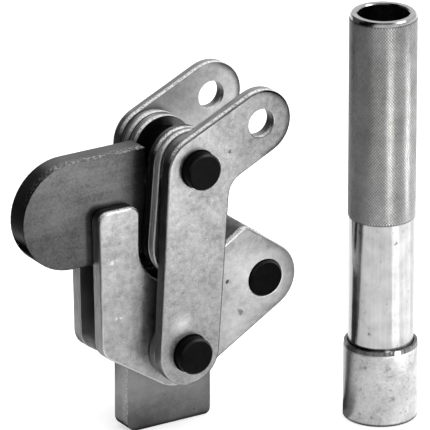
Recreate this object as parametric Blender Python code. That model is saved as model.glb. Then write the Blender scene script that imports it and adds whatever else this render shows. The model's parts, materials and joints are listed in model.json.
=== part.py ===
"""Heavy toggle clamp for welding on, with its tubular handle taken off and standing beside it.

X runs to the right along the plates, Y to the back through the pins, Z up.
The origin is the middle of the base bar's bottom face.
"""

import math

import bmesh
import bpy
from mathutils import Matrix, Vector

# Stock thicknesses and gaps
BAR_THICKNESS = 0.010
BASE_PLATE_THICKNESS = 0.006
INNER_LINK_THICKNESS = 0.0048
OUTER_LINK_THICKNESS = 0.0034
LINK_SPACER_THICKNESS = 0.0015
HANDLE_PLATE_THICKNESS = 0.0055
FIT_GAP = 0.0003

# Pivots, as X and Z
BASE_PIVOT = Vector((0.0, 0.0359))
LINK_PIVOT = Vector((0.0038, 0.1129))
ARM_PIVOT = Vector((0.0412, 0.0556))
TOGGLE_PIVOT = Vector((0.0026, 0.0799))
PIN_RADIUS = 0.0075
PIN_CHAMFER = 0.0008
PIN_PROTRUSION = 0.0052
ARM_PIN_PROTRUSION = 0.0012
WASHER_RIM = 0.0055
SLEEVE_WALL = 0.0020

# Base bar
BASE_BAR_WIDTH = 0.0386
BASE_BAR_ABOVE_PIVOT = 0.0135
BASE_BAR_CORNER = 0.0025
BASE_BAR_LEFT_CORNER = 0.0045

# Base side plates; a rim is the width of metal round a pin
BASE_FOOT_RADIUS = 0.0160
BASE_FOOT_OFFSET = Vector((0.0013, -0.0018))
BASE_LOBE_RIM = 0.0067
BASE_LIP_RADIUS = 0.0043
BASE_LIP_OFFSET = Vector((-0.0094, 0.0189))
NOTCH_CLEARANCE = 0.0022
NOTCH_OFFSET = -0.0024
TAB_HEIGHT = 0.0183
TAB_WIDTH = 0.0184
TAB_INNER_CORNER = 0.0040
TAB_OUTER_CORNER = 0.0045
BASE_HEEL_RADIUS = 0.0080
BASE_HEEL_OFFSET = Vector((-0.0263, 0.0066))

# Handle side plates
HANDLE_RIM = 0.0061
EAR_OFFSET = Vector((0.0290, 0.0132))
EAR_HOLE_RADIUS = 0.0059
EAR_RIM = 0.0078
CROTCH_RADIUS = 0.009
CROTCH_LEAN = -0.0006
CROTCH_DROP = 0.0147

# Links; they taper towards the handle plates
LINK_RIM = 0.0075
LINK_TOP_RIM = 0.0060
LINK_SPACER_RIM = 0.0054

# Clamping arm
ARM_BOSS_RIM = 0.0050
ARM_WAIST = 0.009
ARM_WAIST_RADIUS = 0.030
STUB_LENGTH = 0.0557
STUB_HEIGHT = 0.0443
STUB_RIGHT_END = 0.0132
STUB_BELOW_PIVOT = 0.0047
ARM_ROOT_HEIGHT = 0.0283
ARM_ROOT_CORNER = 0.002

# Edges of the stampings: rolled over on the punch side, broken on the other
DIE_ROLL = 0.0010
BURR_BREAK = 0.0003

# Handle, standing beside the clamp
TUBE_STAND_X = 0.0767
TUBE_STAND_CLEARANCE = 0.0008
TUBE_LENGTH = 0.1700
TUBE_RADIUS = 0.0131
TUBE_WALL = 0.0029
GRIP_RISE = 0.00035
GRIP_BOTTOM = 0.0848
GRIP_END_MARGIN = 0.0016
TUBE_CHAMFER = 0.0005
TUBE_TOP_CHAMFER = 0.0007
COLLAR_WALL = 0.0015
COLLAR_LENGTH = 0.0320
COLLAR_CHAMFER = 0.0004
COLLAR_TOP_CHAMFER = 0.0003
COLLAR_TOP_BEVEL = 0.0024

# Facets
ARC_SAG = 0.00004
HOLE_STEPS = 28
PIN_STEPS = 32
TUBE_STEPS = 48

ZINC = (0.46, 0.46, 0.47)
BRIGHT_ZINC = (0.62, 0.62, 0.63)
BLACK_OXIDE = (0.03, 0.03, 0.032)


def clear_scene():
    for obj in list(bpy.data.objects):
        bpy.data.objects.remove(obj, do_unlink=True)


def finish_object(name, bm, colour, roughness, parent):
    """Turn a bmesh, made in world space, into a named object with its own material under parent."""
    bmesh.ops.remove_doubles(bm, verts=bm.verts, dist=1e-7)
    bmesh.ops.recalc_face_normals(bm, faces=bm.faces)
    mesh = bpy.data.meshes.new(name)
    bm.to_mesh(mesh)
    bm.free()
    mesh.transform(Matrix.Translation(-parent.location))
    mesh.shade_smooth()
    mesh.set_sharp_from_angle(angle=math.radians(40))
    material = bpy.data.materials.new(name + "_finish")
    material.use_nodes = True
    shader = material.node_tree.nodes["Principled BSDF"]
    shader.inputs["Base Color"].default_value = (*colour, 1.0)
    shader.inputs["Metallic"].default_value = 0.9
    shader.inputs["Roughness"].default_value = roughness
    mesh.materials.append(material)
    obj = bpy.data.objects.new(name, mesh)
    bpy.context.collection.objects.link(obj)
    obj.parent = parent
    return obj


def pivot_empty(name, pivot):
    """An empty on a pivot's axis, which carries the pieces that turn there."""
    empty = bpy.data.objects.new(name, None)
    empty.empty_display_size = 0.02
    bpy.context.collection.objects.link(empty)
    empty.location = (pivot.x, 0.0, pivot.y)
    return empty


def arc_step(radius):
    """Largest turn of one facet on an arc, so that it strays from the arc by ARC_SAG at most."""
    return 2.0 * math.acos(1.0 - ARC_SAG / max(abs(radius), 2.0 * ARC_SAG))


def belt(rounds, inset=0.0):
    """Outline of a belt laid anticlockwise round circles, as X, Z points.

    Each round is (centre, radius); a hollow corner has a negative radius, and the belt
    passes it on the other side. An inset moves the whole outline inwards by that much.
    """
    count = len(rounds)
    headings = []
    for i, (centre, radius) in enumerate(rounds):
        next_centre, next_radius = rounds[(i + 1) % count]
        span = next_centre - centre
        lean = math.asin((next_radius - radius) / span.length)
        headings.append(math.atan2(span.y, span.x) - lean)
    points = []
    for i, (centre, radius) in enumerate(rounds):
        arrive = headings[i - 1]
        turn = (headings[i] - arrive) % math.tau
        if radius < 0:
            turn -= math.tau
        steps = max(1, math.ceil(abs(turn) / arc_step(radius)))
        for step in range(steps + 1):
            heading = arrive + turn * step / steps
            outward = Vector((math.sin(heading), -math.cos(heading)))
            points.append(centre + outward * (radius - inset))
    return points


def circle(centre, radius, steps=HOLE_STEPS):
    turns = [math.tau * step / steps for step in range(steps)]
    return [centre + radius * Vector((math.cos(turn), math.sin(turn))) for turn in turns]


def edge_steps(outer, inner, roll, break_edge):
    """Depths and insets of a stamping's edge, from its rolled outer face to its inner face."""
    inward = 1.0 if inner > outer else -1.0
    knee = 0.3 * roll
    steps = [(outer, roll), (outer + inward * knee, knee), (outer + inward * roll, 0.0)]
    return steps + [(inner - inward * break_edge, 0.0), (inner, break_edge)]


def hole_steps(outer, inner):
    """Depths and widenings of a punched hole, broken at the outer face."""
    inward = 1.0 if inner > outer else -1.0
    return [(outer, BURR_BREAK), (outer + inward * BURR_BREAK, 0.0), (inner, 0.0)]


def wall(bm, loops):
    """Close the strip between each loop of vertices and the next."""
    for near, far in zip(loops, loops[1:]):
        for i in range(len(near)):
            j = (i + 1) % len(near)
            bm.faces.new((near[i], near[j], far[j], far[i]))


def plate(name, rounds, holes, outer, inner, parent, roll=DIE_ROLL, break_edge=BURR_BREAK,
          colour=ZINC, roughness=0.42):
    """A flat stamping between two depths, with its outline rolled over at the outer face."""
    bm = bmesh.new()
    steps = edge_steps(outer, inner, roll, break_edge)
    outlines = []
    for depth, inset in steps:
        outlines.append([bm.verts.new((p.x, depth, p.y)) for p in belt(rounds, inset)])
    wall(bm, outlines)
    boundaries = [outlines]
    for centre, radius in holes:
        rings = []
        for depth, widen in hole_steps(outer, inner):
            rings.append([bm.verts.new((p.x, depth, p.y)) for p in circle(centre, radius + widen)])
        wall(bm, rings)
        boundaries.append(rings)
    for end in (0, -1):
        edges = []
        for loops in boundaries:
            loop = loops[end]
            for i in range(len(loop)):
                edges.append(bm.edges.get((loop[i], loop[(i + 1) % len(loop)])))
        bmesh.ops.triangle_fill(bm, use_beauty=True, use_dissolve=False, edges=edges)
    return finish_object(name, bm, colour, roughness, parent)


def turned(name, profile, axis_point, axis, parent, closed=False, colour=BLACK_OXIDE, roughness=0.4,
           steps=PIN_STEPS):
    """A turned piece: a profile of (radius, place along the axis), spun once round the axis.

    A solid piece's profile starts and ends on the axis, and a ring's profile is closed.
    """
    axis = Vector(axis)
    across = Vector((1.0, 0.0, 0.0))
    bm = bmesh.new()
    verts = [bm.verts.new(axis_point + across * radius + axis * along) for radius, along in profile]
    edges = [bm.edges.new(pair) for pair in zip(verts, verts[1:])]
    if closed:
        edges.append(bm.edges.new((verts[-1], verts[0])))
    bmesh.ops.spin(bm, geom=verts + edges, cent=axis_point, axis=axis, angle=math.tau, steps=steps,
                   use_merge=True)
    return finish_object(name, bm, colour, roughness, parent)


def pin(name, pivot, low, high, parent, chamfer_low=PIN_CHAMFER, chamfer_high=PIN_CHAMFER):
    """A plain pin along Y between two depths, with chamfered ends."""
    profile = [(0.0, low), (PIN_RADIUS - chamfer_low, low), (PIN_RADIUS, low + chamfer_low)]
    profile += [(PIN_RADIUS, high - chamfer_high), (PIN_RADIUS - chamfer_high, high), (0.0, high)]
    return turned(name, profile, Vector((pivot.x, 0.0, pivot.y)), (0, 1, 0), parent)


def ring(name, pivot, wall_width, low, high, parent):
    """A plain ring round a pin along Y between two depths, such as a washer or a sleeve."""
    bore = PIN_RADIUS + FIT_GAP
    radius = bore + wall_width
    profile = [(bore, low), (radius - BURR_BREAK, low), (radius, low + BURR_BREAK)]
    profile += [(radius, high - BURR_BREAK), (radius - BURR_BREAK, high), (bore, high)]
    return turned(name, profile, Vector((pivot.x, 0.0, pivot.y)), (0, 1, 0), parent, closed=True,
                  colour=ZINC, roughness=0.4)


def base_plate_rounds():
    notch = TOGGLE_PIVOT + Vector((NOTCH_OFFSET, 0.0))
    notch_radius = PIN_RADIUS + LINK_RIM + NOTCH_CLEARANCE
    notch_wall = notch.x - notch_radius
    tab_top = notch.y + TAB_HEIGHT
    tab_left = notch_wall - TAB_WIDTH
    return [
        (BASE_PIVOT + BASE_FOOT_OFFSET, BASE_FOOT_RADIUS),
        (ARM_PIVOT, PIN_RADIUS + BASE_LOBE_RIM),
        (ARM_PIVOT + BASE_LIP_OFFSET, BASE_LIP_RADIUS),
        (notch, -notch_radius),
        (Vector((notch_wall - TAB_INNER_CORNER, tab_top - TAB_INNER_CORNER)), TAB_INNER_CORNER),
        (Vector((tab_left + TAB_OUTER_CORNER, tab_top - TAB_OUTER_CORNER)), TAB_OUTER_CORNER),
        (BASE_PIVOT + BASE_HEEL_OFFSET, BASE_HEEL_RADIUS),
    ]


def handle_plate_rounds():
    end_radius = PIN_RADIUS + HANDLE_RIM
    crotch_side = end_radius + CROTCH_RADIUS - CROTCH_LEAN
    return [
        (BASE_PIVOT, end_radius),
        (LINK_PIVOT + Vector((crotch_side, -CROTCH_DROP)), -CROTCH_RADIUS),
        (LINK_PIVOT + EAR_OFFSET, EAR_HOLE_RADIUS + EAR_RIM),
        (LINK_PIVOT, end_radius),
    ]


def arm_plate_rounds():
    boss_radius = PIN_RADIUS + ARM_BOSS_RIM
    reach = (ARM_PIVOT - TOGGLE_PIVOT).normalized()
    above = Vector((-reach.y, reach.x))
    middle = (ARM_PIVOT + TOGGLE_PIVOT) / 2
    waist = middle + above * (ARM_WAIST + ARM_WAIST_RADIUS)
    left = TOGGLE_PIVOT.x - STUB_RIGHT_END + FIT_GAP + ARM_ROOT_CORNER
    bottom = TOGGLE_PIVOT.y - STUB_BELOW_PIVOT + ARM_ROOT_CORNER
    top = bottom + ARM_ROOT_HEIGHT - 2 * ARM_ROOT_CORNER
    return [
        (TOGGLE_PIVOT, boss_radius),
        (ARM_PIVOT, boss_radius),
        (waist, -ARM_WAIST_RADIUS),
        (Vector((left, top)), ARM_ROOT_CORNER),
        (Vector((left, bottom)), ARM_ROOT_CORNER),
    ]


def stub_rounds():
    right = TOGGLE_PIVOT.x - STUB_RIGHT_END
    bottom = TOGGLE_PIVOT.y - STUB_BELOW_PIVOT
    end_radius = STUB_HEIGHT / 2
    corner = BURR_BREAK
    return [
        (Vector((right - corner, bottom + corner)), corner),
        (Vector((right - corner, bottom + STUB_HEIGHT - corner)), corner),
        (Vector((right - STUB_LENGTH + end_radius, bottom + end_radius)), end_radius),
    ]


def base_bar_rounds():
    half = BASE_BAR_WIDTH / 2
    top = BASE_PIVOT.y + BASE_BAR_ABOVE_PIVOT
    corner = BASE_BAR_CORNER
    left_corner = BASE_BAR_LEFT_CORNER
    top_corner = BURR_BREAK
    return [
        (Vector((left_corner - half, left_corner)), left_corner),
        (Vector((half - corner, corner)), corner),
        (Vector((half - top_corner, top - top_corner)), top_corner),
        (Vector((top_corner - half, top - top_corner)), top_corner),
    ]


def build_base(base, sides, half_bar, plate_outer, stack_outer, head_outer):
    hole = PIN_RADIUS + FIT_GAP
    plate("base_bar", base_bar_rounds(), [(BASE_PIVOT, hole)], -half_bar, half_bar, base,
          roll=BURR_BREAK, break_edge=BURR_BREAK)
    plate_inner = half_bar + FIT_GAP
    washer_inner = plate_outer + FIT_GAP
    for side, sign in sides.items():
        holes = [(BASE_PIVOT, hole), (ARM_PIVOT, hole)]
        plate("base_plate_" + side, base_plate_rounds(), holes, sign * plate_outer,
              sign * plate_inner, base)
        low, high = sorted((sign * washer_inner, sign * stack_outer))
        ring("pivot_washer_" + side, BASE_PIVOT, WASHER_RIM, low, high, base)
    pin("base_pivot_pin", BASE_PIVOT, -head_outer, head_outer, base)
    arm_pin_end = plate_outer + ARM_PIN_PROTRUSION
    pin("arm_pivot_pin", ARM_PIVOT, -arm_pin_end, arm_pin_end, base)


def build_handle_plates(handle, sides, handle_inner, handle_outer, head_outer):
    hole = PIN_RADIUS + FIT_GAP
    ear = LINK_PIVOT + EAR_OFFSET
    holes = [(BASE_PIVOT, hole), (LINK_PIVOT, hole), (ear, EAR_HOLE_RADIUS)]
    for side, sign in sides.items():
        plate("handle_plate_" + side, handle_plate_rounds(), holes, sign * handle_outer,
              sign * handle_inner, handle)
        ends = [(sign * handle_inner, FIT_GAP), (sign * head_outer, PIN_CHAMFER)]
        (low, chamfer_low), (high, chamfer_high) = sorted(ends)
        pin("link_pin_end_" + side, LINK_PIVOT, low, high, handle, chamfer_low, chamfer_high)


def build_links(link, sides, half_bar, stack_outer):
    hole = PIN_RADIUS + FIT_GAP
    rounds = [(TOGGLE_PIVOT, PIN_RADIUS + LINK_RIM), (LINK_PIVOT, PIN_RADIUS + LINK_TOP_RIM)]
    holes = [(TOGGLE_PIVOT, hole), (LINK_PIVOT, hole)]
    inner_near = half_bar + FIT_GAP
    inner_far = inner_near + INNER_LINK_THICKNESS
    outer_near = inner_far + FIT_GAP
    outer_far = outer_near + OUTER_LINK_THICKNESS
    for side, sign in sides.items():
        plate("outer_link_" + side, rounds, holes, sign * outer_far, sign * outer_near, link,
              roll=0.5 * DIE_ROLL)
        plate("inner_link_" + side, rounds, holes, sign * inner_far, sign * inner_near, link,
              roll=0.5 * DIE_ROLL)
        low, high = sorted((sign * (outer_far + FIT_GAP), sign * stack_outer))
        ring("link_spacer_" + side, LINK_PIVOT, LINK_SPACER_RIM, low, high, link)
    pin("link_pin_core", LINK_PIVOT, -stack_outer, stack_outer, link, FIT_GAP, FIT_GAP)
    pin("link_arm_pin", TOGGLE_PIVOT, -outer_far, outer_far, link, FIT_GAP, FIT_GAP)
    ring("link_pin_sleeve", LINK_PIVOT, SLEEVE_WALL, -half_bar, half_bar, link)


def build_arm(arm, half_bar):
    hole = PIN_RADIUS + FIT_GAP
    holes = [(TOGGLE_PIVOT, hole), (ARM_PIVOT, hole)]
    plate("arm_plate", arm_plate_rounds(), holes, -half_bar, half_bar, arm, roll=BURR_BREAK)
    plate("arm_stub", stub_rounds(), [], -half_bar, half_bar, arm, roll=0.8 * BURR_BREAK,
          break_edge=0.8 * BURR_BREAK)


def build_loose_handle(base, head_outer):
    collar_bore = TUBE_RADIUS + FIT_GAP
    collar_radius = collar_bore + COLLAR_WALL
    grip = TUBE_RADIUS + GRIP_RISE
    stand_y = -(head_outer + TUBE_STAND_CLEARANCE + grip)
    axis_point = Vector((TUBE_STAND_X, stand_y, 0.0))
    bore = TUBE_RADIUS - TUBE_WALL
    grip_top = TUBE_LENGTH - GRIP_END_MARGIN
    tube = [(bore + TUBE_CHAMFER, 0.0), (TUBE_RADIUS - TUBE_CHAMFER, 0.0)]
    tube += [(TUBE_RADIUS, TUBE_CHAMFER), (TUBE_RADIUS, GRIP_BOTTOM)]
    tube += [(grip, GRIP_BOTTOM + GRIP_RISE), (grip, grip_top)]
    tube += [(TUBE_RADIUS - TUBE_TOP_CHAMFER, TUBE_LENGTH), (bore + TUBE_CHAMFER, TUBE_LENGTH)]
    tube += [(bore, TUBE_LENGTH - TUBE_CHAMFER), (bore, TUBE_CHAMFER)]
    turned("handle_tube", tube, axis_point, (0, 0, 1), base, closed=True, colour=BRIGHT_ZINC,
           roughness=0.25, steps=TUBE_STEPS)
    collar = [(collar_bore, 0.0), (collar_radius - COLLAR_CHAMFER, 0.0)]
    collar += [(collar_radius, COLLAR_CHAMFER), (collar_radius, COLLAR_LENGTH - COLLAR_TOP_BEVEL)]
    collar += [(collar_radius - COLLAR_TOP_CHAMFER, COLLAR_LENGTH), (collar_bore, COLLAR_LENGTH)]
    turned("handle_collar", collar, axis_point, (0, 0, 1), base, closed=True, colour=BRIGHT_ZINC,
           roughness=0.3, steps=TUBE_STEPS)


def main():
    clear_scene()
    sides = {"front": -1.0, "rear": 1.0}
    half_bar = BAR_THICKNESS / 2
    plate_outer = half_bar + FIT_GAP + BASE_PLATE_THICKNESS
    stack_outer = half_bar + INNER_LINK_THICKNESS + OUTER_LINK_THICKNESS + LINK_SPACER_THICKNESS
    stack_outer += 3 * FIT_GAP
    handle_inner = stack_outer + FIT_GAP
    handle_outer = handle_inner + HANDLE_PLATE_THICKNESS
    head_outer = handle_outer + PIN_PROTRUSION
    base = pivot_empty("base_frame", Vector((0.0, 0.0)))
    handle = pivot_empty("handle_axis", BASE_PIVOT)
    arm = pivot_empty("arm_axis", ARM_PIVOT)
    link = pivot_empty("link_axis", TOGGLE_PIVOT)
    build_base(base, sides, half_bar, plate_outer, stack_outer, head_outer)
    build_handle_plates(handle, sides, handle_inner, handle_outer, head_outer)
    build_links(link, sides, half_bar, stack_outer)
    build_arm(arm, half_bar)
    build_loose_handle(base, head_outer)
    for empty in (handle, arm):
        empty.parent = base
    link.parent = arm
    link.location -= arm.location


main()
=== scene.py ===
"""Looks of the toggle clamp and of its tubular handle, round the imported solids.

Lengths are in metres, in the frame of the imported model: X to the right along the plates,
Y to the back along the pins, Z up from the weld face.
"""

import json
import math

import bmesh
import bpy
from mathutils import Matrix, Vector


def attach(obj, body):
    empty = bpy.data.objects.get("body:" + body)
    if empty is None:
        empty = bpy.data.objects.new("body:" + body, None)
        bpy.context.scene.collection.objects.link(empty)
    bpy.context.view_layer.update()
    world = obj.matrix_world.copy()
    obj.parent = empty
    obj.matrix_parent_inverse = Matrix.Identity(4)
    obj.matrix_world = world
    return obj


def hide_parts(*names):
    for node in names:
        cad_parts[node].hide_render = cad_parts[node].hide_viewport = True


# View: the photograph's direction, from far away
VIEW_AZIMUTH = -32.0
VIEW_ELEVATION = 21.6
VIEW_DISTANCE = 2.85
VIEW_WIDTH = 0.1694
VIEW_TARGET = Vector((0.0184, -0.0100, 0.0867))
SENSOR_WIDTH = 36.0

# Reflection cards round the tube: azimuth, distance, width, lowest and highest point, strength
CARD_CENTRE = Vector((0.0767, -0.0409, 0.0))
CARDS = (
    ("clamp_dark_card", -130, 0.27, 0.30, 0.0, 0.50, 0.12),
    ("tube_black_card", -93, 0.20, 0.20, 0.0, 0.50, 0.0),
    ("left_strip", -9, 0.15, 0.030, 0.036, 0.112, 16.0),
    ("right_strip", 57, 0.15, 0.026, 0.036, 0.100, 19.0),
    ("low_strip", 16, 0.045, 0.021, 0.014, 0.064, 2.6),
    ("low_right_card", 60, 0.05, 0.05, 0.012, 0.065, 2.1),
)
# Azimuth, elevation, distance, width, height and strength or power
SOFTBOX = ("high_softbox", 48, 54, 1.00, 0.34, 0.34, 5.0)
OVERHEAD = ("overhead", 10, 75, 2.0, 2.2, 2.2, 30.0)

# Painted shade on the floor beside the tube, dark patches that only reflections show: azimuths,
# distances and strength
FLOOR_SHADE_PATCHES = (
    ("far_floor_shade", -154, -127, 0.010, 0.180, 0.05),
    ("near_floor_shade", -127, -98, 0.010, 0.045, 0.25),
)

# Dark parts of the studio: azimuth, elevation, where the shade starts and is full, how dark it is
WORLD_SHADES = (
    (0, 90, 0.85, 0.97, 0.30),
    (-40, 50, 0.76, 0.92, 0.30),
    (-115, 15, 0.35, 0.75, 0.10),
)

# Floor: half its width, how far it lies below the part, its grey and its own glow
FLOOR_REACH = 3.0
FLOOR_DROP = 0.0002
FLOOR_GREY = 0.8
FLOOR_GLOW = 0.61

# Range of the noise that is spread out in the materials
NOISE_LOW = 0.3
NOISE_HIGH = 0.7

# Welding of the CAD facets: distance, and the bend in degrees below which faces are one
WELD_DISTANCE = 0.000002
FLAT_ANGLE = 0.6

# Diamond knurl of the grip
KNURL_AROUND = 72
KNURL_ROWS = 118
KNURL_DEPTH = 0.00018
KNURL_CREST = 0.50
GRIP_BOTTOM = 0.0848
GRIP_TOP = 0.1684

# Tube profile
TUBE_AXIS = Vector((0.0767, -0.04085, 0.0))
GRIP_RADIUS = 0.01345
TUBE_RADIUS = 0.0131
TUBE_BORE = 0.0102
TUBE_LENGTH = 0.170

# Depth of the bars' face to the front
BAR_FRONT = -0.005

# Per stamping: depth of the face to the front and grey of the faces; grey, roughness and painted-light
# gain on top of the sheared edge; side of the inner face, height up to which it carries painted shade
# and its shaded grey;
# painted light and shade of the rolled rim. The edge greys differ from plate to plate as painted light
# and shade:
# bright on the front outer link, dark on the inner links
STAMPINGS = {
    "base_plate_front": (-0.0113, 0.285, 0.28, 0.40, 0.5, 1.0, 0.10, 0.25, 0.22),
    "base_plate_rear": (0.0053, 0.31, 0.25, 0.40, 0.5, -1.0, 0.10, 0.25, 0.16),
    "handle_plate_front": (-0.0214, 0.25, 0.13, 0.36, 2.2, 1.0, 0.09, 0.05, 0.09),
    "handle_plate_rear": (0.0159, 0.43, 0.13, 0.36, 2.2, -1.0, 0.09, 0.05, 0.09),
    "inner_link_front": (-0.0101, 0.31, 0.08, 0.36, 1.5, 1.0, 0.20, 0.05, 0.0),
    "inner_link_rear": (0.0053, 0.31, 0.20, 0.36, 1.8, -1.0, 0.20, 0.05, 0.0),
    "outer_link_front": (-0.0138, 0.31, 0.80, 0.60, 0.6, 1.0, 0.20, 0.05, 0.0),
    "outer_link_rear": (0.0104, 0.31, 0.40, 0.36, 1.4, -1.0, 0.20, 0.05, 0.0),
}

# Marks in the plating, and broad pale patches that are painted highlights: X, Z, radius, width of the
# fade and change of grey
MARKS_AND_HIGHLIGHTS = {
    "handle_plate_front": ((0.0182, 0.1172, 0.0009, 0.4, -0.20), (-0.0040, 0.0490, 0.0060, 0.9, 0.20),
                           (0.0060, 0.1000, 0.0100, 0.9, -0.05)),
    "base_plate_front": ((0.0232, 0.0577, 0.0010, 0.5, -0.26), (0.0297, 0.0433, 0.0015, 0.6, -0.30),
                         (0.0287, 0.0443, 0.0008, 0.5, -0.20), (-0.0298, 0.0769, 0.0009, 0.6, 0.20),
                         (-0.0275, 0.0772, 0.0006, 0.4, 0.20), (-0.0278, 0.0531, 0.0009, 0.6, 0.20),
                         (-0.0262, 0.0528, 0.0006, 0.4, 0.26), (0.0310, 0.0600, 0.0130, 0.8, 0.14),
                         (0.0480, 0.0540, 0.0190, 0.95, 0.36), (0.0280, 0.0390, 0.0170, 0.9, 0.15)),
}

# Rounded ends whose rolled rim carries painted shade on the right: X, Z, radius, shade left of the rim,
# and of the painted dark line below the torn lip on top
SHADED_ROLLED_ENDS = {
    "handle_plate_front": (0.0328, 0.1261, 0.0137, 0.12, 0.25),
    "handle_plate_rear": (0.0328, 0.1261, 0.0137, 0.15, 0.25),
    "base_plate_front": (0.0412, 0.0556, 0.0142, 0.62, 1.0),
}

# How far to the right the painted shade on the inner faces reaches, and how much painted highlight the
# rolled rim gets on top
INNER_SHADE_RIGHT = {"inner_link_rear": 0.003}
RIM_HIGHLIGHT_ON_TOP = {"base_plate_front": 0.5}


def direction(azimuth, elevation):
    """Unit vector towards a compass direction, where azimuth 0 is -Y and 90 is +X."""
    a, e = math.radians(azimuth), math.radians(elevation)
    return Vector((math.sin(a) * math.cos(e), -math.cos(a) * math.cos(e), math.sin(e)))


def make_camera():
    """A far camera at the photograph's direction."""
    data = bpy.data.cameras.new("camera")
    data.sensor_width = SENSOR_WIDTH
    data.lens = SENSOR_WIDTH * VIEW_DISTANCE / VIEW_WIDTH
    data.clip_start = 0.1
    data.clip_end = 20.0
    camera = bpy.data.objects.new("camera", data)
    bpy.context.collection.objects.link(camera)
    back = direction(VIEW_AZIMUTH, VIEW_ELEVATION)
    camera.location = VIEW_TARGET + back * VIEW_DISTANCE
    camera.rotation_mode = "QUATERNION"
    camera.rotation_quaternion = (-back).to_track_quat("-Z", "Y")
    bpy.context.scene.camera = camera


class Graph:
    """A small helper that adds and links the nodes of a material."""

    def __init__(self, name):
        self.material = bpy.data.materials.new(name)
        self.material.use_nodes = True
        self.tree = self.material.node_tree
        self.shader = self.tree.nodes["Principled BSDF"]
        coordinates = self.add("ShaderNodeTexCoord")
        self.place = coordinates.outputs["Object"]
        self.facing = coordinates.outputs["Normal"]

    def add(self, kind, **settings):
        node = self.tree.nodes.new(kind)
        for key, value in settings.items():
            setattr(node, key, value)
        return node

    def feed(self, socket, value):
        if isinstance(value, bpy.types.NodeSocket):
            self.tree.links.new(value, socket)
        elif value is not None:
            socket.default_value = value

    def math(self, operation, a, b=None, clamp=False):
        node = self.add("ShaderNodeMath", operation=operation, use_clamp=clamp)
        self.feed(node.inputs[0], a)
        self.feed(node.inputs[1], b)
        return node.outputs[0]

    def total(self, *values):
        result = values[0]
        for value in values[1:]:
            result = self.math("ADD", result, value)
        return result

    def product(self, a, b):
        return self.math("MULTIPLY", a, b)

    def axis(self, vector, name):
        node = self.add("ShaderNodeSeparateXYZ")
        self.feed(node.inputs[0], vector)
        return node.outputs[name]

    def noise(self, scale, detail=3.0, roughness=0.55, vector=None):
        node = self.add("ShaderNodeTexNoise")
        self.feed(node.inputs["Vector"], vector or self.place)
        node.inputs["Scale"].default_value = scale
        node.inputs["Detail"].default_value = detail
        node.inputs["Roughness"].default_value = roughness
        return node.outputs["Fac"]

    def cells(self, scale, vector=None):
        node = self.add("ShaderNodeTexVoronoi")
        self.feed(node.inputs["Vector"], vector or self.place)
        node.inputs["Scale"].default_value = scale
        return node.outputs["Distance"]

    def stretched(self, x, y, z):
        node = self.add("ShaderNodeMapping")
        self.feed(node.inputs["Vector"], self.place)
        node.inputs["Scale"].default_value = (x, y, z)
        return node.outputs["Vector"]

    def span(self, value, low, high, to_low, to_high):
        node = self.add("ShaderNodeMapRange")
        self.feed(node.inputs["Value"], value)
        node.inputs["From Min"].default_value = low
        node.inputs["From Max"].default_value = high
        node.inputs["To Min"].default_value = to_low
        node.inputs["To Max"].default_value = to_high
        return node.outputs["Result"]

    def mottle(self, noise, low, high):
        """Noise spread out between two values."""
        return self.span(noise, NOISE_LOW, NOISE_HIGH, low, high)

    def blend(self, factor, a, b):
        node = self.add("ShaderNodeMix", data_type="FLOAT")
        self.feed(node.inputs[0], factor)
        self.feed(node.inputs[2], a)
        self.feed(node.inputs[3], b)
        return node.outputs[0]

    def grey(self, value):
        node = self.add("ShaderNodeCombineColor")
        for socket in node.inputs[:3]:
            self.feed(socket, value)
        return node.outputs["Color"]

    def turned_to(self, azimuth):
        """How far a round surface faces an azimuth: 1 where it faces it fully."""
        node = self.add("ShaderNodeVectorMath", operation="DOT_PRODUCT")
        self.feed(node.inputs[0], self.facing)
        node.inputs[1].default_value = direction(azimuth, 0.0)
        return node.outputs["Value"]

    def reach(self, x, z):
        """Distance from a point of the plates' plane."""
        across = self.math("SUBTRACT", self.axis(self.place, "X"), x)
        along = self.math("SUBTRACT", self.axis(self.place, "Z"), z)
        squares = self.total(self.product(across, across), self.product(along, along))
        return self.math("SQRT", squares)

    def mark(self, x, z, radius, fade, change):
        """A ragged spot on a plate's face: small ones are marks in the plating, broad pale ones are
        painted highlights.
        """
        ragged = self.mottle(self.noise(900.0), -0.0005, 0.0005)
        reach = self.total(self.reach(x, z), ragged)
        return self.span(reach, (1.0 - fade) * radius, radius, change, 0.0)

    def rolled_end_shade(self, x, z, radius, left):
        """Factor for the rolled rim of a rounded end: painted shade that darkens it to the right."""
        ring = self.span(self.reach(x, z), radius - 0.0027, radius - 0.0007, 0.0, 1.0)
        right = self.span(self.axis(self.place, "X"), x - 0.003, x + 0.005, 0.0, 1.0)
        return self.span(self.product(ring, right), 0.0, 1.0, 1.0, left)

    def bump(self, height, strength, distance, normal=None):
        node = self.add("ShaderNodeBump")
        self.feed(node.inputs["Height"], height)
        node.inputs["Strength"].default_value = strength
        node.inputs["Distance"].default_value = distance
        self.feed(node.inputs["Normal"], normal)
        return node.outputs["Normal"]

    def finish(self, shade, rough, normal, metallic=1.0):
        self.feed(self.shader.inputs["Base Color"], self.grey(shade))
        self.feed(self.shader.inputs["Roughness"], rough)
        self.feed(self.shader.inputs["Normal"], normal)
        self.feed(self.shader.inputs["Metallic"], metallic)
        return self.material


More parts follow.
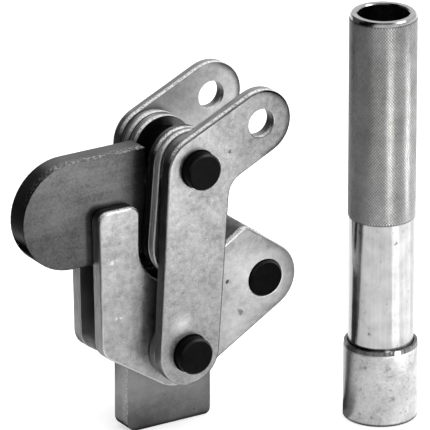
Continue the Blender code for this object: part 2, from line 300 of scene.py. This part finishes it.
def zinc_plate(name, face, grey, edge_grey, edge_rough, top_light_gain, inner_side, shade_top, shade_grey,
               rim_light_change, marks=()):
    """Zinc plate on a stamping: cloudy faces, rolled rims with painted light and shade, painted shade
    on the inner faces, and sheared edges with a torn lip, lit on top as a painted highlight.
    """
    g = Graph(name)
    cloud = g.noise(120.0, detail=5.0, roughness=0.65)
    patch = g.noise(420.0, detail=3.0)
    grain = g.noise(1500.0, detail=2.0)
    pits = g.cells(230.0)
    shade = g.total(g.mottle(cloud, -0.045, 0.045), g.mottle(patch, -0.05, 0.05))
    shade = g.total(shade, g.mottle(grain, -0.04, 0.04), g.span(pits, 0.04, 0.10, -0.10, 0.0))
    shade = g.total(shade, grey)
    # Marks in the plating, and painted highlights
    for mark in marks:
        shade = g.total(shade, g.mark(*mark))

    # Painted light and shade on the rolled rim: lighter where it faces left, and up on some plates,
    # darker where it faces right; painted shade on the inner face between the pivots
    turned = g.axis(g.facing, "Y")
    across = g.math("ABSOLUTE", turned)
    rim = g.product(g.span(across, 0.86, 0.992, 1.0, 0.0), g.span(turned, -0.1, 0.1, 1.0, 0.0))
    change = g.span(g.axis(g.facing, "X"), -0.08, 0.10, rim_light_change, -0.24)
    change = g.total(change, g.span(g.axis(g.facing, "Z"), 0.10, 0.40, 0.0, RIM_HIGHLIGHT_ON_TOP.get(name, 0.0)))
    rim = g.product(rim, change)
    shade = g.total(shade, rim)
    # Painted shade on the rolled rims of the rounded ends, and a painted dark line on the rim below the
    # torn lip
    if name in SHADED_ROLLED_ENDS:
        *end, line_left = SHADED_ROLLED_ENDS[name]
        shade = g.product(shade, g.rolled_end_shade(*end))
        line = g.product(g.span(across, 0.80, 0.86, 0.0, 1.0), g.span(across, 0.990, 0.999, 1.0, 0.0))
        line = g.product(line, g.span(g.axis(g.facing, "Z"), 0.03, 0.12, 0.0, 1.0))
        shade = g.product(shade, g.span(line, 0.0, 1.0, 1.0, line_left))
    # Painted shade: the inner face darkens between the pivots, up to a height and left of a point
    inner_shade = g.span(g.product(turned, inner_side), 0.5, 0.9, 0.0, 1.0)
    inner_shade_right = INNER_SHADE_RIGHT.get(name, 0.012)
    inner_shade = g.product(inner_shade, g.span(g.axis(g.place, "X"), inner_shade_right, inner_shade_right + 0.008, 1.0, 0.0))
    inner_shade = g.product(inner_shade, g.span(g.axis(g.place, "Z"), shade_top, shade_top + 0.008, 1.0, 0.0))
    shade = g.blend(inner_shade, shade, shade_grey)

    # Edges: lines along the cut, lighter where they face up as painted light, and a torn lip beside the
    # face to the front, kept to upward edges and made white as a painted highlight
    lines = g.noise(2400.0, detail=2.0, vector=g.stretched(0.05, 1.0, 0.05))
    torn = g.noise(1500.0, detail=1.0, vector=g.stretched(1.0, 0.45, 1.0))
    depth = g.math("SUBTRACT", g.axis(g.place, "Y"), face)
    ragged = g.total(depth, g.mottle(torn, -0.0005, 0.0005))
    upward = g.span(g.axis(g.facing, "Z"), 0.30, 0.72, 0.0, 1.0)
    lip = g.product(g.span(ragged, 0.0018, 0.0024, 1.0, 0.0), g.span(torn, 0.34, 0.52, 0.30, 1.0))
    lip = g.product(lip, upward)
    edge = g.span(across, 0.30, 0.65, 1.0, 0.0)
    cut_shade = g.math("MULTIPLY", g.mottle(lines, 0.6 * edge_grey, 1.4 * edge_grey),
                       g.span(upward, 0.0, 1.0, 1.0, top_light_gain), clamp=True)
    edge_shade = g.blend(lip, cut_shade, 1.0)
    shade = g.blend(edge, shade, edge_shade)
    rough = g.blend(edge, g.mottle(cloud, 0.32, 0.44), edge_rough)
    white = g.product(lip, edge)
    rough = g.blend(white, rough, 0.5)
    waves = g.bump(g.total(cloud, g.product(patch, 0.3)), 0.35, 0.0008)
    grit = g.bump(grain, 0.10, 0.0002, waves)
    cut = g.bump(g.product(g.total(lines, torn), edge), 0.4, 0.0003, grit)
    return g.finish(shade, rough, cut, metallic=g.span(white, 0.0, 1.0, 1.0, 0.3))


def dull_bar(name, front, grey, corner_glints, shade_from=None, weld_pits_and_low_shade=False, shadow_right=None,
             side_glint_share=0.0):
    """Dull flat bar: painted shade on faces turned down and painted light on faces turned up, optional
    weld pits and painted shade above a height, towards the bottom and at the right end, and painted
    glints along the upper corner of its face to the front.
    """
    g = Graph(name)
    cloud = g.noise(60.0, detail=4.0)
    fine = g.noise(1500.0, detail=2.0)
    streak = g.noise(300.0, detail=3.0, vector=g.stretched(0.12, 1.0, 1.0))
    shade = g.total(g.mottle(cloud, -0.02, 0.02), g.mottle(fine, -0.015, 0.015))
    shade = g.total(shade, g.mottle(streak, -0.012, 0.012), grey)
    # Painted shade between the plates, above a height
    if shade_from is not None:
        shade_above = g.span(g.axis(g.place, "Z"), shade_from, shade_from + 0.010, 1.0, 0.7)
        shade = g.product(shade, shade_above)
    # Pits at the weld end; painted shade along the bottom edge and darker towards the bottom, and
    # painted light on faces turned left
    if weld_pits_and_low_shade:
        pits = g.product(g.span(g.cells(240.0), 0.05, 0.14, 1.0, 0.0),
                      g.span(cloud, 0.45, 0.60, 0.0, 1.0))
        shade = g.math("SUBTRACT", shade, g.product(pits, 0.5 * grey))
        smudge = g.total(g.axis(g.place, "Z"), g.mottle(cloud, -0.003, 0.003))
        shade = g.product(shade, g.span(g.axis(g.place, "Z"), 0.0004, 0.0018, 0.25, 1.0))
        shade = g.product(shade, g.span(smudge, 0.000, 0.014, 0.42, 1.12))
        shade = g.product(shade, g.span(g.axis(g.facing, "X"), -0.9, -0.4, 1.3, 1.0))
    # Painted shade on faces turned down, with a darker specular tint, and painted light on faces turned
    # up
    shade = g.product(shade, g.span(g.axis(g.facing, "Z"), -0.6, -0.05, 0.40, 1.0))
    shade = g.product(shade, g.span(g.axis(g.facing, "Z"), 0.60, 0.95, 1.0, 1.25))
    tint = g.grey(g.span(g.axis(g.facing, "Z"), -0.5, -0.05, 0.0, 1.0))
    g.feed(g.shader.inputs["Specular Tint"], tint)
    # Painted shadow towards the right end, where the handle plate shades the stub
    if shadow_right is not None:
        handle_shadow = g.span(g.axis(g.place, "X"), shadow_right - 0.012, shadow_right, 1.0, 0.35)
        shade = g.product(shade, handle_shadow)
    # Painted glints: bright flecks along the upper corner of the face to the front, mostly where it
    # turns up
    glint_noise = g.noise(950.0, detail=2.0)
    depth = g.math("SUBTRACT", g.axis(g.place, "Y"), front)
    corner = g.span(g.math("ABSOLUTE", g.axis(g.facing, "Y")), 0.90, 0.97, 1.0, 0.0)
    corner = g.product(corner, g.span(depth, 0.0020, 0.0044, 1.0, 0.0))
    corner = g.product(corner, g.span(g.axis(g.facing, "Z"), 0.3, 0.65, side_glint_share, 1.0))
    corner = g.product(corner, g.span(glint_noise, 0.48, 0.60, 0.0, corner_glints))
    shade = g.blend(corner, shade, g.span(fine, 0.4, 0.6, 0.15, 0.50))
    rough = g.mottle(cloud, 0.28, 0.36)
    return g.finish(shade, rough, g.bump(fine, 0.12, 0.0002))


def black_oxide(name, grey=0.003, gloss=0.03):
    """Black oxide, with a painted highlight on the upper right part of a pin's chamfer."""
    g = Graph(name)
    cloud = g.noise(400.0)
    shade = g.mottle(cloud, 0.6 * grey, 1.4 * grey)
    across = g.math("ABSOLUTE", g.axis(g.facing, "Y"))
    chamfer_highlight = g.product(g.span(across, 0.30, 0.50, 0.0, 1.0), g.span(across, 0.85, 0.95, 1.0, 0.0))
    chamfer_highlight = g.product(chamfer_highlight, g.span(g.axis(g.facing, "Z"), 0.10, 0.50, 0.0, 1.0))
    chamfer_highlight = g.product(chamfer_highlight, g.span(g.axis(g.facing, "X"), -0.25, 0.25, 0.2, 1.0))
    g.shader.inputs["Specular IOR Level"].default_value = gloss
    shade = g.blend(chamfer_highlight, shade, 0.06)
    return g.finish(shade, g.mottle(cloud, 0.36, 0.46), g.bump(cloud, 0.05, 0.0002), metallic=chamfer_highlight)


def bright_tube(name, grey=0.40, rough=0.14):
    """Bright zinc plate with drawing marks along the tube and a few stains."""
    g = Graph(name)
    streak = g.noise(900.0, detail=3.0, vector=g.stretched(1.0, 1.0, 0.03))
    stain = g.noise(150.0, detail=4.0)
    spots = g.noise(520.0, detail=2.0)
    shade = g.total(g.mottle(streak, -0.03, 0.03), g.mottle(stain, -0.06, 0.06))
    shade = g.total(shade, g.span(spots, 0.64, 0.74, 0.0, -0.14), grey)
    pits = g.product(g.span(g.cells(170.0), 0.08, 0.20, 1.0, 0.0), g.span(spots, 0.46, 0.58, 0.0, 1.0))
    shade = g.math("SUBTRACT", shade, g.product(pits, 0.28))
    return g.finish(shade, g.mottle(stain, rough - 0.04, rough + 0.08), g.bump(stain, 0.10, 0.0006))


def grip_zinc(name, grey=0.36, rough=0.30):
    """The knurl: duller than the plain tube, and darker in its grooves."""
    g = Graph(name)
    stain = g.noise(110.0, detail=4.0)
    spots = g.noise(700.0, detail=2.0)
    away = g.math("SUBTRACT", g.axis(g.place, "X"), TUBE_AXIS.x)
    back = g.math("SUBTRACT", g.axis(g.place, "Y"), TUBE_AXIS.y)
    radius = g.math("SQRT", g.total(g.product(away, away), g.product(back, back)))
    groove = g.span(radius, GRIP_RADIUS - KNURL_DEPTH, GRIP_RADIUS - 0.2 * KNURL_DEPTH, 0.38, 1.0)
    shade = g.total(g.mottle(stain, -0.06, 0.06), g.mottle(spots, -0.05, 0.05), grey)
    shade = g.product(shade, groove)
    return g.finish(shade, g.mottle(stain, rough - 0.01, rough + 0.05), g.bump(spots, 0.1, 0.0003))


def collar_zinc(name, grey=0.45):
    """The collar: dull bright zinc with a dark rough band round its upper end, painted glints on the
    band, painted light and shade across it, and a painted contact shadow at its foot.
    """
    g = Graph(name)
    stain = g.noise(120.0, detail=4.0)
    grain = g.noise(900.0, detail=2.0)
    height = g.axis(g.place, "Z")
    shade = g.total(g.mottle(stain, -0.10, 0.08), g.mottle(grain, -0.05, 0.05), grey)
    band = g.span(height, 0.0301, 0.0304, 0.0, 1.0)
    pits = g.product(g.span(g.cells(190.0), 0.07, 0.18, 1.0, 0.0), g.span(grain, 0.44, 0.56, 0.0, 1.0))
    shade = g.math("SUBTRACT", shade, g.product(pits, 0.22))
    smudge = g.noise(430.0, detail=2.0)
    shade = g.total(shade, g.span(smudge, 0.58, 0.72, 0.0, -0.16))
    chatter = g.noise(700.0, detail=2.0, vector=g.stretched(1.0, 1.0, 0.3))
    band_shade = g.mottle(chatter, 0.05, 0.17)
    # Painted glints on the band, where it faces two set directions
    band_glint = g.span(g.turned_to(-9), 0.978, 0.990, 0.0, 1.0)
    band_glint = g.product(band_glint, g.span(chatter, 0.40, 0.50, 0.0, 1.0))
    glint = g.math("MAXIMUM", band_glint, g.span(g.turned_to(-31), 0.9975, 0.9993, 0.0, 1.0))
    shade = g.blend(band, shade, g.blend(glint, band_shade, 0.9))
    # Painted shade on the side turned left and painted light on the side turned right
    shade = g.product(shade, g.span(g.turned_to(-90), -0.2, 1.0, 1.15, 0.80))
    # Painted contact shadow at the very foot
    foot_shadow = g.span(height, 0.0006, 0.0013, 0.08, 1.0)
    shade = g.product(shade, foot_shadow)
    normal = g.bump(grain, 0.10, 0.0002, g.bump(stain, 0.15, 0.0006))
    return g.finish(shade, g.mottle(stain, 0.28, 0.36), normal)


def plain_metal(name, grey, rough):
    """Even metal for small pieces that hardly show."""
    g = Graph(name)
    grain = g.noise(900.0, detail=2.0)
    return g.finish(g.mottle(grain, grey * 0.9, grey * 1.1), rough, g.bump(grain, 0.1, 0.0002))


def smooth_shading(piece, crease=38):
    """Round faces shade smoothly, flat ones stay flat."""
    piece.data.shade_smooth()
    piece.data.set_sharp_from_angle(angle=math.radians(crease))
    weighted = piece.modifiers.new("even_shading", "WEIGHTED_NORMAL")
    weighted.keep_sharp = True
    weighted.weight = 100


def add_piece(name, mesh, body, material, *nodes):
    """Add a piece that rides on a body and stands for the named CAD nodes."""
    mesh.materials.append(material)
    piece = bpy.data.objects.new(name, mesh)
    bpy.context.collection.objects.link(piece)
    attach(piece, body)
    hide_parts(*nodes)
    return piece


def refine(names, material, crease=38, corner=0.0):
    """Stand smooth-shaded pieces in for CAD nodes, welded from their facets."""
    for name in names:
        bm = bmesh.new()
        bm.from_mesh(frame["nodes"][name].data)
        bmesh.ops.remove_doubles(bm, verts=bm.verts, dist=WELD_DISTANCE)
        bmesh.ops.dissolve_limit(bm, angle_limit=math.radians(FLAT_ANGLE), verts=bm.verts,
                                 edges=bm.edges)
        mesh = bpy.data.meshes.new(name + "_fine")
        bm.to_mesh(mesh)
        bm.free()
        piece = add_piece(name + "_fine", mesh, BODY_OF[name], material, name)
        if corner:
            rounding = piece.modifiers.new("rounded_corners", "BEVEL")
            rounding.width = corner
            rounding.segments = 3
            rounding.limit_method = "ANGLE"
            rounding.angle_limit = math.radians(50)
        smooth_shading(piece, crease)


def ring_of(bm, radius, height, half_turn=0.0):
    """A ring of points round the tube, one per diamond."""
    verts = []
    for i in range(KNURL_AROUND):
        turn = math.tau * (i + half_turn) / KNURL_AROUND
        side = Vector((math.cos(turn), math.sin(turn), 0.0)) * radius
        verts.append(bm.verts.new(TUBE_AXIS + side + Vector((0.0, 0.0, height))))
    return verts


def strip(bm, lower, upper):
    """A band of faces between two rings."""
    for i in range(KNURL_AROUND):
        j = (i + 1) % KNURL_AROUND
        bm.faces.new((lower[i], lower[j], upper[j], upper[i]))


def knurl(bm, low_radius, high_radius, bottom, top):
    """Rows of truncated diamond pyramids; returns the two end rings, in their grooves."""
    step = (top - bottom) / KNURL_ROWS
    rows = []
    for row in range(KNURL_ROWS + 1):
        rows.append(ring_of(bm, low_radius, bottom + row * step, 0.5 * (row % 2)))
    for row in range(1, KNURL_ROWS):
        height = bottom + row * step
        shift = 0.5 * (row % 2)
        here, below, above = rows[row], rows[row - 1], rows[row + 1]
        for i in range(KNURL_AROUND):
            left, right = here[i], here[(i + 1) % KNURL_AROUND]
            j = (i + (row % 2)) % KNURL_AROUND
            bottom_vert, top_vert = below[j], above[j]
            crest = []
            for around, up in ((0.0, -1.0), (0.5, 0.0), (0.0, 1.0), (-0.5, 0.0)):
                turn = math.tau * (i + 0.5 + shift + KNURL_CREST * around) / KNURL_AROUND
                side = Vector((math.cos(turn), math.sin(turn), 0.0)) * high_radius
                rise = Vector((0.0, 0.0, height + KNURL_CREST * up * step))
                crest.append(bm.verts.new(TUBE_AXIS + side + rise))
            corners = (bottom_vert, right, top_vert, left)
            bm.faces.new(crest)
            for k in range(4):
                n = (k + 1) % 4
                bm.faces.new((corners[k], corners[n], crest[n], crest[k]))
    for end, row in ((0, 1), (KNURL_ROWS, KNURL_ROWS - 1)):
        for i in range(KNURL_AROUND):
            outer, inner = rows[end], rows[row]
            if end % 2 == 0:
                bm.faces.new((outer[i], outer[(i + 1) % KNURL_AROUND], inner[i]))
            else:
                bm.faces.new((outer[i], outer[(i + 1) % KNURL_AROUND], inner[(i + 1) % KNURL_AROUND]))
    return rows[0], rows[-1]


def build_tube():
    """The tube with its real knurl, over the plain CAD tube."""
    bm = bmesh.new()
    low = GRIP_RADIUS - KNURL_DEPTH
    first, last = knurl(bm, low, GRIP_RADIUS, GRIP_BOTTOM + 0.0004, GRIP_TOP - 0.0002)
    outside = [ring_of(bm, radius, height) for radius, height in (
        (TUBE_BORE + 0.0005, 0.0), (TUBE_RADIUS - 0.0005, 0.0), (TUBE_RADIUS, 0.0005),
        (TUBE_RADIUS, GRIP_BOTTOM))] + [first]
    shift = 0.5 * (KNURL_ROWS % 2)
    inside = [last] + [ring_of(bm, radius, height, shift) for radius, height in (
        (low, GRIP_TOP), (TUBE_RADIUS - 0.0001, TUBE_LENGTH - 0.0006),
        (TUBE_RADIUS - 0.0006, TUBE_LENGTH), (TUBE_BORE + 0.0004, TUBE_LENGTH),
        (TUBE_BORE, TUBE_LENGTH - 0.0005), (TUBE_BORE, 0.0005))]
    for rings in (outside, inside):
        for lower, upper in zip(rings, rings[1:]):
            strip(bm, lower, upper)
    strip(bm, inside[-1], outside[0])
    bmesh.ops.recalc_face_normals(bm, faces=bm.faces)
    mesh = bpy.data.meshes.new("knurled_tube")
    bm.to_mesh(mesh)
    bm.free()
    mesh.shade_smooth()
    mesh.set_sharp_from_angle(angle=math.radians(24))
    add_piece("knurled_tube", mesh, "base", bright_tube("tube_zinc"), "handle_tube")
    mesh.materials.append(grip_zinc("grip_zinc"))
    for face in mesh.polygons:
        outward = (face.center - TUBE_AXIS).xy.length > TUBE_RADIUS - 0.0001
        face.material_index = int(outward and GRIP_BOTTOM < face.center.z < GRIP_TOP)


def flat_card(name, corners, material):
    """One flat face that belongs to the studio."""
    mesh = bpy.data.meshes.new(name)
    mesh.from_pydata([tuple(c) for c in corners], [], [tuple(range(len(corners)))])
    mesh.materials.append(material)
    card = bpy.data.objects.new(name, mesh)
    bpy.context.collection.objects.link(card)
    return card


def make_floor():
    """The plain pale floor, which glows a little so that it stays white."""
    signs = ((-1, -1), (1, -1), (1, 1), (-1, 1))
    corners = [(x * FLOOR_REACH, y * FLOOR_REACH, -FLOOR_DROP) for x, y in signs]
    g = Graph("floor")
    g.shader.inputs["Base Color"].default_value = (FLOOR_GREY, FLOOR_GREY, FLOOR_GREY, 1.0)
    g.shader.inputs["Roughness"].default_value = 1.0
    g.shader.inputs["Emission Color"].default_value = (1.0, 1.0, 1.0, 1.0)
    g.shader.inputs["Emission Strength"].default_value = FLOOR_GLOW
    g.shader.inputs["Specular IOR Level"].default_value = 0.0
    flat_card("floor", corners, g.material)


def area_light(name, azimuth, elevation, distance, width, height, power):
    """A soft light that faces the clamp and isn't seen in reflections."""
    data = bpy.data.lights.new(name, "AREA")
    data.shape = "RECTANGLE"
    data.size = width
    data.size_y = height
    data.energy = power
    light = bpy.data.objects.new(name, data)
    bpy.context.collection.objects.link(light)
    out = direction(azimuth, elevation)
    light.location = VIEW_TARGET + out * distance
    light.rotation_mode = "QUATERNION"
    light.rotation_quaternion = (-out).to_track_quat("-Z", "Y")
    light.visible_glossy = False


def show_in_reflections(card):
    """Hide a card from all but reflections."""
    card.visible_camera = False
    card.visible_diffuse = False
    card.visible_shadow = False
    card.visible_transmission = False


def glow(name, strength):
    """A card's material: it gives light and reflects none."""
    g = Graph(name)
    g.shader.inputs["Base Color"].default_value = (0.0, 0.0, 0.0, 1.0)
    g.shader.inputs["Specular IOR Level"].default_value = 0.0
    g.shader.inputs["Emission Color"].default_value = (1.0, 1.0, 1.0, 1.0)
    g.shader.inputs["Emission Strength"].default_value = strength
    return g.material


def standing_card(name, azimuth, distance, width, bottom, top, strength):
    """An upright card that only the metal's reflections show; at strength 0 it is black."""
    middle = CARD_CENTRE + direction(azimuth, 0.0) * distance
    across = direction(azimuth + 90.0, 0.0) * (width / 2)
    low, high = Vector((0.0, 0.0, bottom)), Vector((0.0, 0.0, top))
    corners = [middle - across + low, middle + across + low,
               middle + across + high, middle - across + high]
    show_in_reflections(flat_card(name, corners, glow(name, strength)))


def floor_shade_patch(name, start, end, near, far, strength):
    """A dark sector of the floor: painted shade that only the tube's reflections show."""
    turns = [start + (end - start) * step / 12 for step in range(13)]
    up = Vector((0.0, 0.0, 0.0001))
    corners = [CARD_CENTRE + direction(turn, 0.0) * far + up for turn in turns]
    corners += [CARD_CENTRE + direction(turn, 0.0) * near + up for turn in reversed(turns)]
    show_in_reflections(flat_card(name, corners, glow(name, strength)))


def softbox(name, azimuth, elevation, distance, width, height, strength):
    """A card high up that faces the tube, for the glints on rims and chamfers."""
    out = direction(azimuth, elevation)
    middle = CARD_CENTRE + out * distance
    across = direction(azimuth + 90.0, 0.0) * (width / 2)
    up = across.cross(out).normalized() * (height / 2)
    corners = [middle - across - up, middle + across - up, middle + across + up, middle - across + up]
    show_in_reflections(flat_card(name, corners, glow(name, strength)))


def make_light():
    """A pale studio that is dark overhead and behind on the left, with soft strips to reflect."""
    world = bpy.data.worlds.new("studio")
    bpy.context.scene.world = world
    world.use_nodes = True
    tree = world.node_tree
    background = tree.nodes["Background"]
    place = tree.nodes.new("ShaderNodeTexCoord")
    shades = []
    for azimuth, elevation, low, high, dark in WORLD_SHADES:
        dot = tree.nodes.new("ShaderNodeVectorMath")
        dot.operation = "DOT_PRODUCT"
        dot.inputs[1].default_value = direction(azimuth, elevation)
        tree.links.new(place.outputs["Generated"], dot.inputs[0])
        fade = tree.nodes.new("ShaderNodeMapRange")
        fade.interpolation_type = "SMOOTHSTEP"
        fade.inputs["From Min"].default_value = low
        fade.inputs["From Max"].default_value = high
        fade.inputs["To Min"].default_value = 1.0
        fade.inputs["To Max"].default_value = dark
        tree.links.new(dot.outputs["Value"], fade.inputs["Value"])
        shades.append(fade.outputs["Result"])
    level = shades[0]
    for shade in shades[1:]:
        both = tree.nodes.new("ShaderNodeMath")
        both.operation = "MULTIPLY"
        tree.links.new(level, both.inputs[0])
        tree.links.new(shade, both.inputs[1])
        level = both.outputs["Value"]
    background.inputs["Color"].default_value = (1.0, 1.0, 1.0, 1.0)
    tree.links.new(level, background.inputs["Strength"])
    area_light(*OVERHEAD)
    for card in CARDS:
        standing_card(*card)
    softbox(*SOFTBOX)
    for patch in FLOOR_SHADE_PATCHES:
        floor_shade_patch(*patch)
    bpy.context.scene.view_settings.view_transform = "Standard"


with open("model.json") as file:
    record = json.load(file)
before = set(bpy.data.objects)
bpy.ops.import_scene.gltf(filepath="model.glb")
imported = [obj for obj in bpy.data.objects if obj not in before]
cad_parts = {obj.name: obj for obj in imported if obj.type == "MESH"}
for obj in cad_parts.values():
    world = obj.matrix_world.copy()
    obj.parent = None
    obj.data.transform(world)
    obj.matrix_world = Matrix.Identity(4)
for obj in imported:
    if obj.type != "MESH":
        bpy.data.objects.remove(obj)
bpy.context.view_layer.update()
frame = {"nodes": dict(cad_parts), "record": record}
bodies = frame["record"]["behaviour"]["bodies"]
BODY_OF = {node: body for body, nodes in bodies.items() for node in nodes}

make_camera()
make_light()
make_floor()

for plate, looks in STAMPINGS.items():
    refine([plate], zinc_plate(plate, *looks, marks=MARKS_AND_HIGHLIGHTS.get(plate, ())), crease=50)
refine(["pivot_washer_front", "pivot_washer_rear"], plain_metal("washer_zinc", 0.2, 0.4))
refine(["link_spacer_front", "link_spacer_rear"], plain_metal("spacer_zinc", 0.3, 0.4))
bar_steel = dull_bar("base_bar_steel", BAR_FRONT, 0.145, 0.9, shade_from=0.033, weld_pits_and_low_shade=True,
                     side_glint_share=0.6)
refine(["base_bar"], bar_steel, corner=0.0009)
refine(["arm_plate"], dull_bar("arm_steel", BAR_FRONT, 0.10, 0.0), corner=0.0006)
refine(["arm_stub"], dull_bar("stub_steel", BAR_FRONT, 0.064, 0.95, shadow_right=-0.0105), corner=0.0006)
refine(["base_pivot_pin", "arm_pivot_pin", "link_pin_end_front", "link_pin_end_rear"],
       black_oxide("black_oxide"))
# Darker and less glossy than the other pins: painted shade in the well between the links
refine(["link_pin_core", "link_arm_pin", "link_pin_sleeve"], black_oxide("black_sleeve", 0.002, 0.02))
refine(["handle_collar"], collar_zinc("collar_zinc"), crease=25)
build_tube()
